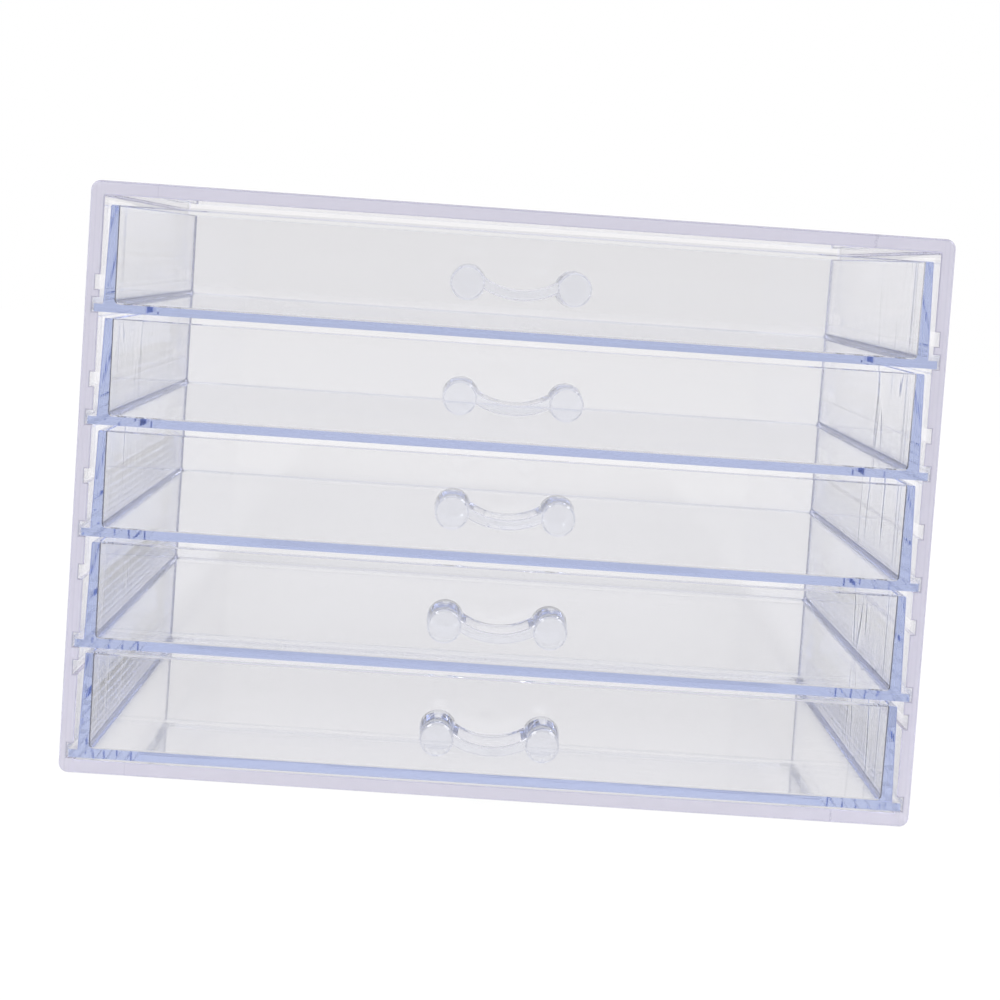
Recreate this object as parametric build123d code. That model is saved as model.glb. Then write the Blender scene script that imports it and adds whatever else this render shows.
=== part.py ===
from build123d import *

import os
from math import radians, sqrt, tan

# Clear nail art storage box: an open-fronted case with five equal pull-out drawers.
# Frame: +Z up, the drawers open towards -Y, origin at the centre of the case's underside.
# All lengths are millimetres and all angles are degrees.

# Case, outside sizes at the open front
CASE_WIDTH = 240.0
CASE_DEPTH = 155.0
CASE_HEIGHT = 166.0
CASE_CORNER = 2.7

# Case walls, measured at the open front
SIDE_WALL = 4.0
TOP_WALL = 3.9
BASE_WALL = 3.9
BACK_WALL = 3.0

# Draft that lets the case leave its mould: the outside and the inside both narrow towards the back
OUTER_DRAFT = 0.25
INNER_DRAFT = 0.15
INNER_CORNER = 0.6
RIM_ROUND = 0.8
MOUTH_BEVEL = 0.3

# Runner grooves in the side walls
GROOVE_DEPTH = 1.9
GROOVE_HEIGHT = 4.1

# Spare grooves, a little shallower, at the heights for a set of lower drawers
SPARE_DEPTH = 1.4
SPARE_COUNT = 5
SPARE_FIRST = 24.0
SPARE_TOP = 26.2

# Drawer stack
DRAWER_COUNT = 5
BASE_GAP = 0.6
CEILING_GAP = 2.7
STACK_GAP = 1.6
RUNNER_GAP = 0.1
REAR_GAP = 3.0
BODY_SIDE_GAP = 1.05
FLANGE_SIDE_GAP = 0.6

# Drawer tray: the outside leans in towards the rim and the inside opens slightly, so the walls thin upwards.
# The front stays nearly upright, because its mould pulls away forwards, off the handle.
FLOOR = 2.25
WALL_BASE = 2.85
TRAY_DRAFT = 1.45
FRONT_DRAFT = 0.15
HOLLOW_DRAFT = 0.35
TRAY_CORNER = 0.5
HOLLOW_FILLET = 1.4
HOLLOW_BEVEL = 0.4
TRAY_RIM_BEVEL = 0.3
FLANGE_REAR_CORNER = 2.5

# Handle: two round posts joined by a rib that curves down between them
POST_PITCH = 29.0
POST_RADIUS = 5.2
POST_TIP_RADIUS = 4.65
POST_TIP_BEVEL = 0.5
HANDLE_REACH = 14.0
HANDLE_RISE = 0.35
RIB_THICKNESS = 2.8
RIB_RADIUS = 20.0
RIB_DROP = 2.5
RIB_END_INSET = 2.0
RIB_BEVEL = 0.25
RIB_SETBACK = 0.8

# Gate mark in the middle of the case's back: a shallow round recess with the stub of the sprue in it
GATE_RADIUS = 1.75
GATE_DEPTH = 0.4
GATE_STUB_RADIUS = 0.7
GATE_STUB_HEIGHT = 0.3

# Worked-out sizes
front_y = -CASE_DEPTH / 2
back_y = CASE_DEPTH / 2
inner_back_y = back_y - BACK_WALL
inner_depth = CASE_DEPTH - BACK_WALL
inner_width = CASE_WIDTH - 2 * SIDE_WALL
inner_height = CASE_HEIGHT - TOP_WALL - BASE_WALL
inner_draw_in = inner_depth * tan(radians(INNER_DRAFT))
outer_draw_in = CASE_DEPTH * tan(radians(OUTER_DRAFT))

drawer_pitch = (inner_height - BASE_GAP - CEILING_GAP + STACK_GAP) / DRAWER_COUNT
drawer_height = drawer_pitch - STACK_GAP
drawer_depth = inner_depth - REAR_GAP
drawer_width = inner_width - 2 * BODY_SIDE_GAP
flange_width = inner_width + 2 * (GROOVE_DEPTH - FLANGE_SIDE_GAP)
spare_pitch = (inner_height - SPARE_FIRST - SPARE_TOP) / (SPARE_COUNT - 1)

# Undersides of the drawers, from the top one down, and lower faces of their grooves
drawer_floors = [BASE_WALL + BASE_GAP + drawer_pitch * row for row in reversed(range(DRAWER_COUNT))]
runner_heights = [floor - RUNNER_GAP for floor in drawer_floors]
spare_heights = [BASE_WALL + SPARE_FIRST + spare_pitch * row for row in range(SPARE_COUNT)]


def moulded_box(width, y_front, y_back, bottom, height, angle, corner):
    """Box lying front to back whose sides and top draw in towards the back, rounded but for its front."""
    box = Pos(0, y_front, bottom) * Box(
        width, y_back - y_front, height, align=(Align.CENTER, Align.MIN, Align.MIN)
    )
    sides = box.faces().filter_by(Axis.X) + [box.faces().sort_by(Axis.Z)[-1]]
    box = draft(sides, Plane.XZ.offset(-y_front), -angle)
    front_edges = box.faces().sort_by(Axis.Y)[0].edges()
    return fillet([edge for edge in box.edges() if edge not in front_edges], corner)


def groove(side, height, depth):
    """Groove along one side wall, its bottom following the wall's draft."""
    mouth = CASE_WIDTH / 2 - SIDE_WALL
    bottom = mouth + depth
    outline = Polyline(
        (side * (mouth - SIDE_WALL), front_y),
        (side * bottom, front_y),
        (side * (bottom - inner_draw_in), inner_back_y),
        (side * (mouth - SIDE_WALL), inner_back_y),
        close=True,
    )
    return Pos(0, 0, height) * extrude(make_face(outline), amount=GROOVE_HEIGHT, dir=(0, 0, 1))


def make_case():
    """Outer case: drafted shell, rounded rim and back, and both sets of runner grooves."""
    shell = moulded_box(CASE_WIDTH, front_y, back_y, 0, CASE_HEIGHT, OUTER_DRAFT, CASE_CORNER)
    shell = fillet(shell.faces().sort_by(Axis.Y)[0].outer_wire().edges(), RIM_ROUND)
    cavity = moulded_box(
        inner_width, front_y, inner_back_y, BASE_WALL, inner_height, INNER_DRAFT, INNER_CORNER
    )
    shell -= cavity
    mouth = shell.faces().sort_by(Axis.Y)[0].inner_wires()[0]
    shell = chamfer(mouth.edges(), MOUTH_BEVEL)
    for heights, depth in ((runner_heights, GROOVE_DEPTH), (spare_heights, SPARE_DEPTH)):
        for height in heights:
            shell -= groove(-1, height, depth)
            shell -= groove(1, height, depth)
    gate = Plane((0, back_y, CASE_HEIGHT / 2), z_dir=(0, 1, 0))
    shell -= gate * extrude(Circle(GATE_RADIUS), amount=-GATE_DEPTH)
    well_floor = gate.offset(-GATE_DEPTH)
    return shell + well_floor * extrude(Circle(GATE_STUB_RADIUS), amount=GATE_STUB_HEIGHT)


def upright_block(width, y_front, y_back, bottom, angle, front_angle):
    """Block up to the drawer's rim; its sides and front lean in by these angles, or out where negative."""
    block = Pos(0, y_front, bottom) * Box(
        width, y_back - y_front, drawer_height - bottom, align=(Align.CENTER, Align.MIN, Align.MIN)
    )
    foot = Plane.XY.offset(bottom)
    block = draft(block.faces().filter_by(Axis.Z, reverse=True).sort_by(Axis.Y)[1:], foot, angle)
    return draft(block.faces().sort_by(Axis.Y)[0], foot, front_angle)


def make_tray():
    """Drawer tray with its underside on z = 0 and its front face on y = 0."""
    tray = upright_block(drawer_width, 0, drawer_depth, 0, TRAY_DRAFT, FRONT_DRAFT)
    tray = fillet([edge for edge in tray.edges() if edge.tangent_at(0.5).Z**2 > 0.5], TRAY_CORNER)
    hollow = upright_block(
        drawer_width - 2 * WALL_BASE,
        WALL_BASE,
        drawer_depth - WALL_BASE,
        FLOOR,
        -HOLLOW_DRAFT,
        -HOLLOW_DRAFT,
    )
    hollow = fillet(hollow.faces().sort_by(Axis.Z)[0].edges().filter_by(Axis.Y), HOLLOW_FILLET)
    mouth_edges = hollow.faces().sort_by(Axis.Z)[-1].edges()
    front, *_, back = hollow.faces().sort_by(Axis.Y)
    end_edges = [edge for edge in front.edges() + back.edges() if edge not in mouth_edges]
    hollow = chamfer(end_edges, HOLLOW_BEVEL)
    tray -= hollow
    tray = chamfer(tray.faces().sort_by(Axis.Z)[-1].edges(), TRAY_RIM_BEVEL)
    flange = Pos(0, drawer_depth / 2, 0) * Box(
        flange_width, drawer_depth, FLOOR, align=(Align.CENTER, Align.CENTER, Align.MIN)
    )
    flange = fillet(flange.edges().filter_by(Axis.Z).group_by(Axis.Y)[-1], FLANGE_REAR_CORNER)
    return tray + (flange - hollow)


def make_handle():
    """Handle standing out of the front panel, centred on x = z = 0, rooted in the panel."""
    root = WALL_BASE / 2
    face = Plane.XZ.offset(-root)
    reach = HANDLE_REACH - RIB_SETBACK + root
    post = loft([face * Circle(POST_RADIUS), Plane.XZ.offset(HANDLE_REACH) * Circle(POST_TIP_RADIUS)])
    post = chamfer(post.faces().sort_by(Axis.Y)[0].edges(), POST_TIP_BEVEL)
    half = POST_PITCH / 2
    rib_half = half - RIB_END_INSET
    rib_end = RIB_RADIUS - RIB_DROP - sqrt(RIB_RADIUS**2 - rib_half**2)
    spine = ThreePointArc((-rib_half, rib_end), (0, -RIB_DROP), (rib_half, rib_end))
    rib = extrude(face * trace(spine, RIB_THICKNESS), amount=reach)
    rib_tip = rib.faces().sort_by(Axis.Y)[0]
    rib = chamfer(rib_tip.edges().sort_by(SortBy.LENGTH)[-2:], RIB_BEVEL)
    return Pos(-half, 0, 0) * post + rib + Pos(half, 0, 0) * post


def make_drawer():
    """One drawer: tray, runner flanges and handle."""
    drawer = make_tray()
    drawer += Pos(0, 0, drawer_height / 2 + HANDLE_RISE) * make_handle()
    return drawer


def main():
    os.makedirs("parts", exist_ok=True)
    export_step(make_case(), "parts/case.step")
    drawer = make_drawer()
    for number, floor in enumerate(drawer_floors, start=1):
        export_step(Pos(0, front_y, floor) * drawer, f"parts/drawer_{number}.step")


main()
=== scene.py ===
"""Clear plastics, studio and camera for a nail art storage box with five drawers."""
from math import radians

import bpy
from bpy.props import FloatProperty, FloatVectorProperty, IntProperty, PointerProperty
from bpy.types import Operator, Panel, PropertyGroup
from mathutils import Matrix, Vector


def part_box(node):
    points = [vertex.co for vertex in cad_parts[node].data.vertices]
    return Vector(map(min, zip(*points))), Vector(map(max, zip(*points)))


bl_info = {
    "name": "Nail Art Storage Box",
    "version": (1, 0, 0),
    "blender": (4, 5, 0),
    "location": "View3D > Sidebar > Storage Box",
    "description": "Clear plastics, studio and camera for a nail art storage box with five drawers",
    "category": "Object",
}

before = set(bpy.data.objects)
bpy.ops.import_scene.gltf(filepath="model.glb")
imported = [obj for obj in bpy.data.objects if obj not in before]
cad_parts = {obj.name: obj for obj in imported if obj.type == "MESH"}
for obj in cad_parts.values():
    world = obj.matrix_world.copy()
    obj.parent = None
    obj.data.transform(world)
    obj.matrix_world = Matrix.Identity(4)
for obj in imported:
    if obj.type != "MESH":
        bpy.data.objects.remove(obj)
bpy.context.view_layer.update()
case_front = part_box("case")[0][1]
DRAWERS = sorted(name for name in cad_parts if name.startswith("drawer_"))


class Wire:
    """A shader socket that can be used in Python sums; each sum adds its Math node."""

    def __init__(self, tree, socket):
        self.tree = tree
        self.socket = socket

    def __add__(self, other):
        return self.tree.maths("ADD", self, other)

    def __radd__(self, other):
        return self.tree.maths("ADD", other, self)

    def __sub__(self, other):
        return self.tree.maths("SUBTRACT", self, other)

    def __rsub__(self, other):
        return self.tree.maths("SUBTRACT", other, self)

    def __mul__(self, other):
        return self.tree.maths("MULTIPLY", self, other)

    def __rmul__(self, other):
        return self.tree.maths("MULTIPLY", other, self)

    def __truediv__(self, other):
        return self.tree.maths("DIVIDE", self, other)

    def __abs__(self):
        return self.tree.maths("ABSOLUTE", self)


class Tree:
    """A material's or world's node tree, filled by one method for nodes and one for sums."""

    def __init__(self, owner):
        owner.use_nodes = True
        self.tree = owner.node_tree
        self.tree.nodes.clear()

    def node(self, kind, settings=None, sockets=None):
        """Add a node; settings go on first, then values and links of its sockets. Gives the node."""
        node = self.tree.nodes.new(kind)
        for name, value in (settings or {}).items():
            if name == "stops":
                ramp = node.color_ramp
                while len(ramp.elements) < len(value):
                    ramp.elements.new(0.5)
                for element, (place, colour) in zip(ramp.elements, value):
                    element.position = place
                    element.color = colour
            else:
                setattr(node, name, value)
        for name, value in (sockets or {}).items():
            if isinstance(value, Wire):
                self.tree.links.new(value.socket, node.inputs[name])
            else:
                node.inputs[name].default_value = value
        return node

    def wire(self, kind, settings=None, sockets=None, output=0):
        """Add a node and give one of its outputs as a Wire."""
        return Wire(self, self.node(kind, settings, sockets).outputs[output])

    def maths(self, operation, *values, clamp=False):
        """Add a Math node on one to three values."""
        settings = {"operation": operation, "use_clamp": clamp}
        return self.wire("ShaderNodeMath", settings, dict(enumerate(values)))

    def mix(self, factor, first, second):
        """Blend of two colours."""
        return self.wire(
            "ShaderNodeMix", {"data_type": "RGBA"}, {"Factor": factor, 6: first, 7: second}, output=2
        )

    def axes(self, vector):
        """The X, Y and Z of a vector."""
        parts = self.node("ShaderNodeSeparateXYZ", sockets={"Vector": vector})
        return [Wire(self, output) for output in parts.outputs]

    def smooth(self, value, low, high):
        """A soft step from 0 at low to 1 at high."""
        sockets = {"Value": value, "From Min": low, "From Max": high}
        return self.wire("ShaderNodeMapRange", {"interpolation_type": "SMOOTHSTEP"}, sockets)


class PlasticSettings(PropertyGroup):
    """Colours and finish of the two clear plastics."""

    case_tint: FloatVectorProperty(
        name="Case tint",
        description="Colour that light keeps on its way through the case's plastic",
        subtype="COLOR", size=3, min=0.0, max=1.0, default=(0.18, 0.10, 0.72),
    )
    case_depth: FloatProperty(
        name="Case tint strength",
        description="How strongly each metre of the case's plastic colours light",
        default=1.05, min=0.0,
    )
    drawer_tint: FloatVectorProperty(
        name="Drawer tint",
        description="Colour that light keeps on its way through the drawers' plastic",
        subtype="COLOR", size=3, min=0.0, max=1.0, default=(0.15, 0.31, 0.76),
    )
    drawer_depth: FloatProperty(
        name="Drawer tint strength",
        description="How strongly each metre of the drawers' plastic colours light",
        default=5.0, min=0.0,
    )
    case_clearness: FloatVectorProperty(
        name="Case clearness",
        description="Share of light that each of the case's walls lets through",
        subtype="COLOR", size=3, min=0.0, max=1.0, default=(0.984, 0.975, 0.984),
    )
    clearness: FloatVectorProperty(
        name="Drawer clearness",
        description="Share of light that each of the drawers' walls lets through",
        subtype="COLOR", size=3, min=0.0, max=1.0, default=(0.998, 0.997, 0.999),
    )
    # Painted shade: the case's rounded edges let less light through, standing in for the shaded studio they show.
    case_edge_shade: FloatVectorProperty(
        name="Case edges",
        description="Share of light that the case's rounded edges let through",
        subtype="COLOR", size=3, min=0.0, max=1.0, default=(0.85, 0.84, 0.92),
    )
    # Painted shade: the drawers' rounded edges let less light through and turn bluer, standing in for the shaded
    # studio they show.
    drawer_edge_shade: FloatVectorProperty(
        name="Drawer edges",
        description="Share of light that the drawers' rounded edges let through",
        subtype="COLOR", size=3, min=0.0, max=1.0, default=(0.64, 0.66, 0.9),
    )
    polish: FloatProperty(
        name="Roughness", description="Roughness of the mould's polish",
        subtype="FACTOR", default=0.03, min=0.0, max=1.0,
    )
    rim: FloatProperty(
        name="Rim roughness", description="Extra roughness of the case's front rim",
        subtype="FACTOR", default=0.45, min=0.0, max=1.0,
    )
    floor_edge: FloatProperty(
        name="Floor edge roughness", description="Extra roughness of the rounding between floor and side walls",
        subtype="FACTOR", default=0.22, min=0.0, max=1.0,
    )


class StageSettings(PropertyGroup):
    """Studio and camera."""

    camera_place: FloatVectorProperty(
        name="Camera place", description="Where the camera stands",
        subtype="TRANSLATION", unit="LENGTH", size=3, default=(-0.0114, -0.6089, 0.1506),
    )
    camera_turn: FloatVectorProperty(
        name="Camera turn", description="Pitch, roll and yaw of the camera from level, looking along +Y",
        subtype="EULER", unit="ROTATION", size=3,
        default=(radians(-3.316), radians(3.98), radians(-0.81)),
    )
    lens: FloatProperty(
        name="Lens", description="Focal length on a 36 mm wide frame",
        unit="CAMERA", default=68.99, min=1.0,
    )
    rise: FloatProperty(
        name="Camera fall", description="How far the frame is shifted down, as a share of its width",
        default=0.125, min=0.0, max=1.0,
    )
    background: FloatProperty(
        name="Background", description="Brightness of the white surroundings",
        default=1.0, min=0.0,
    )
    front_shade: FloatProperty(
        name="Front shade", description="Brightness of the studio behind the camera, which the plastic mirrors",
        subtype="FACTOR", default=0.16, min=0.0, max=1.0,
    )


def clear_plastic(name, clearness, edge, tint, depth, plastic, details):
    """Moulded clear polystyrene: flow lines, slight waves and fine haze over a tinted body, with painted shade that
    makes the edges darker.

    The details function gets a point's place and its shares of upright edge, crossing edge and edge that runs front to
    back. It gives the shares of painted edge shade, painted shade line and mark colour (real flaws and painted shade
    alike), the height of the real flaws' bumps and extra roughness.
    """
    material = bpy.data.materials.new(name)
    tree = Tree(material)
    place = tree.wire("ShaderNodeTexCoord", output="Object")
    spot = tree.axes(place)
    facing = [abs(axis) for axis in tree.axes(tree.wire("ShaderNodeNewGeometry", output="Normal"))]
    edges = [tree.smooth(facing[one] * facing[other], 0.15, 0.45) for one, other in ((0, 1), (1, 2), (0, 2))]
    edge_shade_share, painted_shade_line, marks_and_shade, mark_height, rough = details(tree, spot, edges, plastic)
    # Painted shade: rounded edges are mixed towards the darker edge colour.
    clear_with_edge_shade = tree.mix(edge_shade_share, (*clearness, 1.0), (*edge, 1.0))
    # Mark colour: real flaws and painted shade both darken towards this blue-grey.
    colour = tree.mix(marks_and_shade, clear_with_edge_shade, (0.2, 0.2, 0.28, 1.0))
    waves = tree.wire(
        "ShaderNodeTexNoise", sockets={"Vector": place, "Scale": 30.0, "Detail": 1.0, "Roughness": 0.4}
    )
    streak_space = tree.wire("ShaderNodeMapping", sockets={"Vector": place, "Scale": (60.0, 260.0, 12.0)})
    flow = tree.wire(
        "ShaderNodeTexNoise", sockets={"Vector": streak_space, "Scale": 1.0, "Detail": 1.0, "Roughness": 0.6}
    )
    haze = tree.wire(
        "ShaderNodeTexNoise", sockets={"Vector": place, "Scale": 900.0, "Detail": 0.0}
    )
    height = waves * 0.6 + flow * 0.25 + mark_height
    normal = tree.wire(
        "ShaderNodeBump", sockets={"Height": height, "Strength": 0.1, "Distance": 0.0002}
    )
    surface = tree.wire(
        "ShaderNodeBsdfPrincipled",
        sockets={
            "Base Color": colour,
            "Roughness": haze * plastic.polish + rough,
            "Transmission Weight": 1.0,
            "IOR": 1.59,
            "Normal": normal,
        },
    )
    # Painted shade: an almost black diffuse surface mixed in where the painted shade lines fall.
    painted_shade_surface = tree.wire("ShaderNodeBsdfDiffuse", sockets={"Color": (0.04, 0.05, 0.12, 1.0)})
    skin = tree.wire("ShaderNodeMixShader", sockets={0: painted_shade_line, 1: surface, 2: painted_shade_surface})
    body = tree.wire("ShaderNodeVolumeAbsorption", sockets={"Color": (*tint, 1.0), "Density": depth})
    tree.node("ShaderNodeOutputMaterial", sockets={"Surface": skin, "Volume": body})
    return material


def case_details(tree, spot, edges, plastic):
    """Lines along the rim and specks; painted shade along the mouth, along the rim's top edge and round the grooves'
    ends, in the gap beside the drawers and on the ceiling; and a painted reflection below the ceiling's corners.
    """
    x, y, z = spot
    upright, crossing, deep = edges
    on_rim = 1 - tree.smooth(y, case_front, case_front + 0.0006)
    side = abs(x)
    rim_line = tree.smooth(abs(side - 0.1183), 0.0004, 0.0) + tree.smooth(abs(side - 0.1170), 0.0003, 0.0) * 0.6
    in_height = tree.smooth(z, 0.0035, 0.0045) * (1 - tree.smooth(z, 0.1615, 0.1625))
    # Painted shade: a line along the mouth's edge, stronger towards the top, and lines round the grooves' ends.
    mouth_edge_shade = tree.smooth(abs(side - 0.1161), 0.0005, 0.0) * in_height
    mouth_and_groove_shade = mouth_edge_shade * (0.4 + tree.smooth(z, 0.128, 0.14) * 0.6)
    for lowest, pitch, bottom in ((0.0044, 0.0313, 0.1179), (0.0279, 0.027, 0.1174)):
        turn = tree.maths("FLOORED_MODULO", z + (pitch / 2 - lowest - 0.00205), pitch)
        beyond = tree.maths("MAXIMUM", abs(turn - pitch / 2) - 0.00205, side - bottom)
        line = tree.smooth(abs(beyond - 0.0001), 0.0003, 0.0)
        in_stack = tree.smooth(z, lowest - 0.002, lowest - 0.001) * (1 - tree.smooth(z, 0.145, 0.15))
        mouth_and_groove_shade = tree.maths("MAXIMUM", mouth_and_groove_shade, line * in_stack)
    specks = tree.wire("ShaderNodeTexNoise", sockets={"Scale": 700.0, "Detail": 1.0})
    wobble = (tree.wire("ShaderNodeTexNoise", sockets={"Scale": 500.0, "Detail": 0.0}) - 0.5) * 0.0015
    weld_line = tree.smooth(abs(x - 0.0977 + wobble), 0.0004, 0.0) * 0.5 + tree.smooth(abs(x + 0.1014), 0.0003, 0.0) * 0.2
    # Painted shade: a line along the rim's top edge; the weld lines and the specks are the plastic's own.
    top_edge_shade = tree.smooth(abs(z - 0.1656), 0.0003, 0.0) * 0.4
    lines = rim_line * 0.12 + top_edge_shade + weld_line * (1 - in_height)
    on_front = lines + tree.smooth(specks, 0.52, 0.75) * 0.08 + mouth_and_groove_shade * 0.7
    # Painted shade on the inner walls in the gap beside the drawers and on the ceiling.
    wall_gap_shade = (1 - tree.smooth(y, -0.0725, -0.07)) * tree.smooth(side, 0.115, 0.1155) * (1 - tree.smooth(side, 0.118, 0.1182))
    ceiling_gap_shade = tree.smooth(z, 0.1605, 0.161) * (1 - tree.smooth(z, 0.163, 0.164))
    # Painted reflection: a darker band and line on the inner side walls just below the ceiling, the band widening
    # towards the back, standing in for the ceiling corner's mirrored image.
    over_corner = z - 0.1621 + tree.smooth(y, -0.09, 0.05) * 0.0036
    on_inner_wall = tree.smooth(side, 0.114, 0.1145) * (1 - tree.smooth(side, 0.1163, 0.1165))
    along = tree.smooth(y, -0.077, -0.074) * (1 - tree.smooth(y, 0.072, 0.074))
    painted_corner_reflection = tree.smooth(over_corner, 0.0, 0.0003) * 0.45 + tree.smooth(abs(over_corner), 0.0004, 0.0) * 0.45
    in_corner = on_inner_wall * along
    shades = tree.maths("MAXIMUM", tree.maths("MAXIMUM", wall_gap_shade * 0.28, ceiling_gap_shade * 0.2), painted_corner_reflection * in_corner)
    # The front carries its lines, specks and painted edge shade; the inside carries the painted shade and the painted
    # reflection.
    marks_and_shade = on_front * on_rim + shades * (1 - on_rim)
    # Painted shade on every rounded edge of the case.
    return upright + crossing + deep, 0.0, marks_and_shade, 0.0, on_rim * plastic.rim


def drawer_details(tree, spot, edges, plastic):
    """Painted shade on the rounded edges, in the inner corners, in a grey ring where the handle meets the front and
    along the handle's edges; flow streaks in the side walls and the floor's gate mark.
    """
    x, y, z = spot
    upright, crossing, deep = edges
    in_front = 1 - tree.smooth(y, -0.07, -0.065)
    at_top = tree.smooth(tree.maths("FLOORED_MODULO", z - 0.0045, 0.0313), 0.025, 0.027)
    on_handle = 1 - tree.smooth(y, -0.078, -0.0777)
    # Painted shade: rounded edges darken and turn bluer, upright ones most, crossing ones more on the front panel
    # below its top, and much less on the handle.
    blue_edge_shade = upright * 0.7 + crossing * (0.25 + in_front * (1 - at_top * 0.85) * 0.6) + deep * 0.6
    edge_shade_share = blue_edge_shade * (1 - on_handle * 0.85)
    # Painted shade: a grey ring where the handle meets the front panel.
    root_shade = tree.smooth(y, -0.079, -0.0783) * (1 - tree.smooth(y, -0.07765, -0.07755))
    # Painted shade: thin lines in every upright corner, stronger in the inner corners by the side walls, fading
    # towards the back and at the upper right.
    inside = 1 - tree.smooth(abs(x), 0.1126, 0.1132)
    corner = tree.smooth(abs(x), 0.1, 0.105) * inside
    upper_right = tree.smooth(x, 0.0, 0.1) * tree.smooth(z, 0.1, 0.13)
    painted_corner_shade = upright * (0.1 + corner * (0.65 - tree.smooth(y, 0.0, 0.05) * 0.35) * (1 - upper_right * 0.6))
    space = tree.wire("ShaderNodeCombineXYZ", sockets={"Y": y * 60.0, "Z": z * 9.0})
    flow = tree.wire("ShaderNodeTexNoise", sockets={"Vector": space, "Scale": 1.0, "Detail": 1.0})
    spread = tree.wire("ShaderNodeTexNoise", sockets={"Vector": space, "Scale": 2.3, "Detail": 0.0})
    near_front = tree.smooth(y, -0.07, -0.066) * (1 - tree.smooth(y, -0.045, 0.0))
    in_wall = tree.smooth(x, 0.109, 0.111) + (1 - tree.smooth(x, -0.111, -0.109)) * 0.3
    chief = tree.smooth(abs(y + 0.0625 + (flow - 0.5) * 0.003), 0.0005, 0.0)
    fine = tree.smooth(abs(flow - 0.5), 0.02, 0.0) * tree.smooth(spread, 0.45, 0.65) * near_front
    streaks = (chief + fine * (0.6 - tree.smooth(z, 0.12, 0.14) * 0.4)) * in_wall
    long_way = (y + 0.003) / 0.004
    wide_way = x / 0.0026
    gate = 1 - tree.smooth(tree.maths("SQRT", wide_way * wide_way + long_way * long_way), 0.5, 1.1)
    rough = deep * tree.smooth(abs(x), 0.1, 0.105) * plastic.floor_edge
    # Painted shade: grey edging on the handle's edges; the flow streaks and the gate mark are the plastic's own.
    tip_shade = on_handle * (upright + crossing)
    marks_and_shade = streaks * 0.4 + gate * 0.1 + root_shade * 0.4 + tip_shade * 0.15
    return edge_shade_share, painted_corner_shade, marks_and_shade, streaks * 3.0, rough


def dress(node, material):
    """Give a CAD node its material in every slot."""
    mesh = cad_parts[node].data
    for index in range(len(mesh.materials)):
        mesh.materials[index] = material


class STORAGEBOX_OT_case(Operator):
    """Dress the outer case in clear, faintly lavender plastic"""

    bl_idname = "storagebox.case"
    bl_label = "Outer case"

    def execute(self, context):
        plastic = context.scene.box_plastic
        material = clear_plastic(
            "case_plastic", plastic.case_clearness, plastic.case_edge_shade, plastic.case_tint, plastic.case_depth,
            plastic, case_details,
        )
        dress("case", material)
        return {"FINISHED"}


class STORAGEBOX_OT_drawers(Operator):
    """Dress the drawers in clear, faintly blue plastic"""

    bl_idname = "storagebox.drawers"
    bl_label = "Drawers"

    def execute(self, context):
        plastic = context.scene.box_plastic
        material = clear_plastic(
            "drawer_plastic", plastic.clearness, plastic.drawer_edge_shade, plastic.drawer_tint, plastic.drawer_depth,
            plastic, drawer_details,
        )
        for name in DRAWERS:
            dress(name, material)
        return {"FINISHED"}


def white_to_camera(tree, through, mirrored):
    """White for the camera and for light; other brightnesses for what shows through the plastic or is mirrored."""
    path = tree.node("ShaderNodeLightPath")
    camera, glossy, passing, mirrorings = (
        Wire(tree, path.outputs[name])
        for name in ("Is Camera Ray", "Is Glossy Ray", "Is Transmission Ray", "Glossy Depth")
    )
    in_plastic = tree.maths("MAXIMUM", glossy, passing) * (1 - camera)
    was_mirrored = tree.maths("MINIMUM", mirrorings, 1.0)
    seen = mirrored * was_mirrored + through * (1 - was_mirrored)
    return 1 - in_plastic * (1 - seen)


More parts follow.
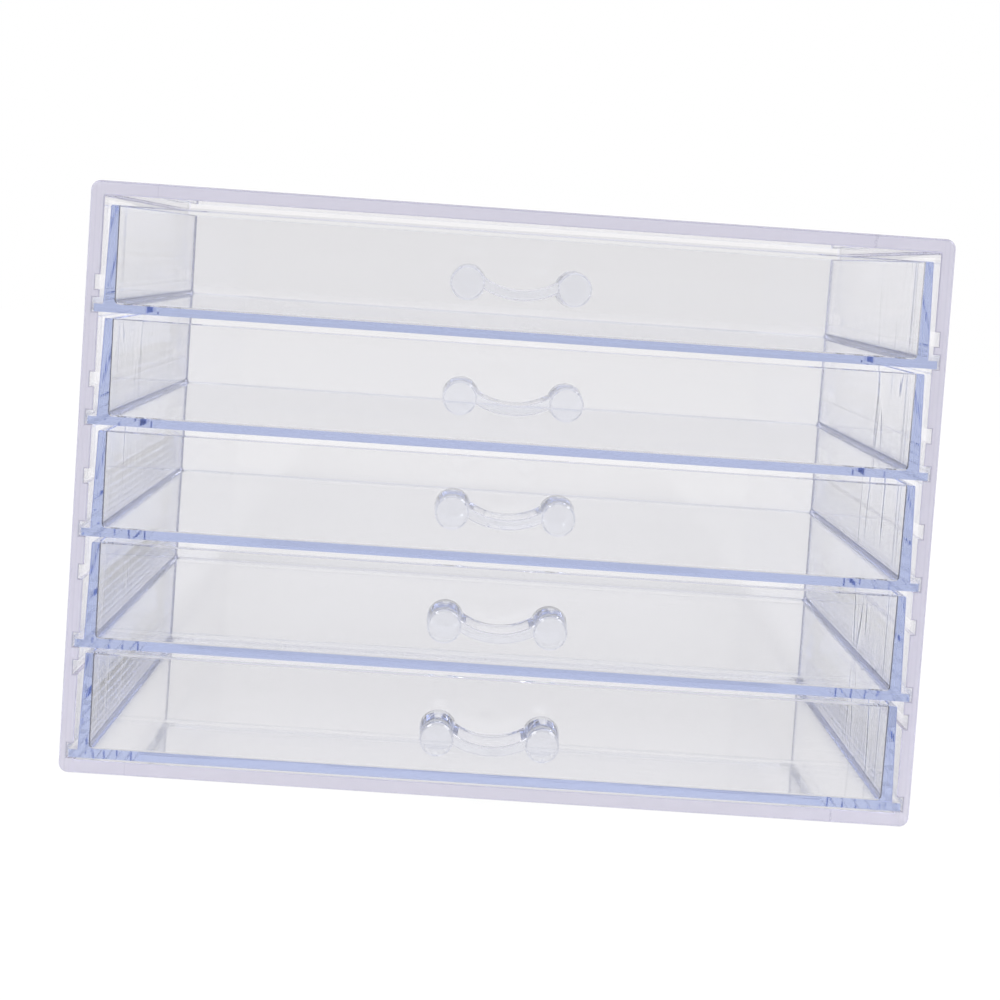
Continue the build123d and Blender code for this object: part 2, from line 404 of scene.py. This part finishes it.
class STORAGEBOX_OT_stage(Operator):
    """Set up the pale floor, the soft studio light and the camera"""

    bl_idname = "storagebox.stage"
    bl_label = "Studio and camera"

    def execute(self, context):
        stage = context.scene.box_stage
        self.make_floor(stage)
        self.make_surroundings(context.scene, stage)
        self.make_lamps()
        self.make_camera(context.scene, stage)
        context.scene.view_settings.view_transform = "Standard"
        for kind in ("max_bounces", "glossy_bounces", "transmission_bounces"):
            setattr(context.scene.cycles, kind, 100)
        context.scene.cycles.use_light_tree = False
        return {"FINISHED"}

    def make_floor(self, stage):
        """A wide white floor that glows, so that only a soft shadow shows on it; its mirror image dims in front, and
        seen through the plastic it has a painted shadow under and beside the box.
        """
        bpy.ops.mesh.primitive_plane_add(size=6.0, location=(0.0, 0.0, -0.0002))
        floor = bpy.context.object
        floor.name = "studio_floor"
        material = bpy.data.materials.new("floor_white")
        tree = Tree(material)
        place = tree.wire("ShaderNodeTexCoord", output="Object")
        across, depth, _ = tree.axes(place)
        in_front = stage.front_shade + tree.smooth(depth, -0.2, -0.09) * (1 - stage.front_shade)
        side = abs(across)
        # Painted shadow: seen through the plastic, the floor is darker under the box, darkest under its side walls and
        # paler beside it, and pales away to white within about a metre in front and behind.
        painted_floor_shadow = 0.77 - tree.smooth(side, 0.07, 0.11) * 0.05 + tree.smooth(side, 0.118, 0.13) * 0.17
        painted_floor_shadow = painted_floor_shadow + tree.smooth(abs(depth), 0.07, 0.09) * 0.05
        through = painted_floor_shadow + tree.smooth(abs(depth), 0.09, 0.9) * (1 - painted_floor_shadow)
        glow = white_to_camera(tree, through, in_front * through)
        light = tree.wire("ShaderNodeEmission", sockets={"Color": glow, "Strength": 0.93 * stage.background})
        paper = tree.wire("ShaderNodeBsdfDiffuse", sockets={"Color": (0.09, 0.09, 0.09, 1.0)})
        both = tree.wire("ShaderNodeAddShader", sockets={0: light, 1: paper})
        tree.node("ShaderNodeOutputMaterial", sockets={"Surface": both})
        floor.data.materials.append(material)

    def make_surroundings(self, scene, stage):
        """White all round, dimmer in front of the box, behind the camera."""
        world = bpy.data.worlds.new("studio_white")
        tree = Tree(world)
        direction = tree.wire("ShaderNodeTexCoord", output="Generated")
        _, ahead, up = tree.axes(direction)
        pale = tree.maths("MAXIMUM", tree.smooth(ahead, -0.97, -0.8), tree.smooth(up, 0.08, 0.18))
        mirrored = stage.front_shade + pale * (1 - stage.front_shade)
        glow = white_to_camera(tree, 1.0, mirrored)
        light = tree.wire("ShaderNodeBackground", sockets={"Color": glow, "Strength": stage.background})
        tree.node("ShaderNodeOutputWorld", sockets={"Surface": light})
        scene.world = world

    def make_lamps(self):
        """Two large soft boxes, one from each side above the camera."""
        lamps = (("soft_box_left", (-0.9, -0.7, 1.1), 9.0, 0.7), ("soft_box_right", (0.9, -0.5, 1.0), 5.0, 0.6))
        for name, place, power, size in lamps:
            lamp = bpy.data.lights.new(name, "AREA")
            lamp.energy = power
            lamp.size = size
            holder = bpy.data.objects.new(name, lamp)
            holder.location = place
            aim = Vector((0.0, 0.0, 0.08)) - Vector(place)
            holder.rotation_euler = aim.to_track_quat("-Z", "Y").to_euler()
            bpy.context.collection.objects.link(holder)

    def make_camera(self, scene, stage):
        """The photograph's view: nearly square to the open front, turned a little about its axis."""
        camera = bpy.data.cameras.new("camera")
        camera.sensor_width = 36.0
        camera.lens = stage.lens
        camera.shift_y = -stage.rise
        camera.clip_start = 0.01
        holder = bpy.data.objects.new("camera", camera)
        pitch, roll, yaw = stage.camera_turn
        turn = (
            Matrix.Rotation(yaw, 4, "Z") @ Matrix.Rotation(radians(90) + pitch, 4, "X") @ Matrix.Rotation(roll, 4, "Z")
        )
        holder.matrix_world = Matrix.Translation(stage.camera_place) @ turn
        bpy.context.collection.objects.link(holder)
        scene.camera = holder


class STORAGEBOX_PT_panel(Panel):
    """Storage box tools"""

    bl_idname = "STORAGEBOX_PT_panel"
    bl_label = "Storage Box"
    bl_space_type = "VIEW_3D"
    bl_region_type = "UI"
    bl_category = "Storage Box"

    def draw(self, context):
        layout = self.layout
        for group in (context.scene.box_plastic, context.scene.box_stage):
            box = layout.box()
            for name in group.__annotations__:
                box.prop(group, name)
        for operator in OPERATORS:
            layout.operator(operator.bl_idname)


OPERATORS = (STORAGEBOX_OT_stage, STORAGEBOX_OT_case, STORAGEBOX_OT_drawers)
CLASSES = (PlasticSettings, StageSettings, *OPERATORS, STORAGEBOX_PT_panel)


def register():
    for cls in CLASSES:
        bpy.utils.register_class(cls)
    bpy.types.Scene.box_plastic = PointerProperty(type=PlasticSettings)
    bpy.types.Scene.box_stage = PointerProperty(type=StageSettings)


def unregister():
    del bpy.types.Scene.box_stage
    del bpy.types.Scene.box_plastic
    for cls in reversed(CLASSES):
        bpy.utils.unregister_class(cls)


def main():
    register()
    bpy.ops.storagebox.stage()
    bpy.ops.storagebox.case()
    bpy.ops.storagebox.drawers()


if __name__ == "__main__":
    main()
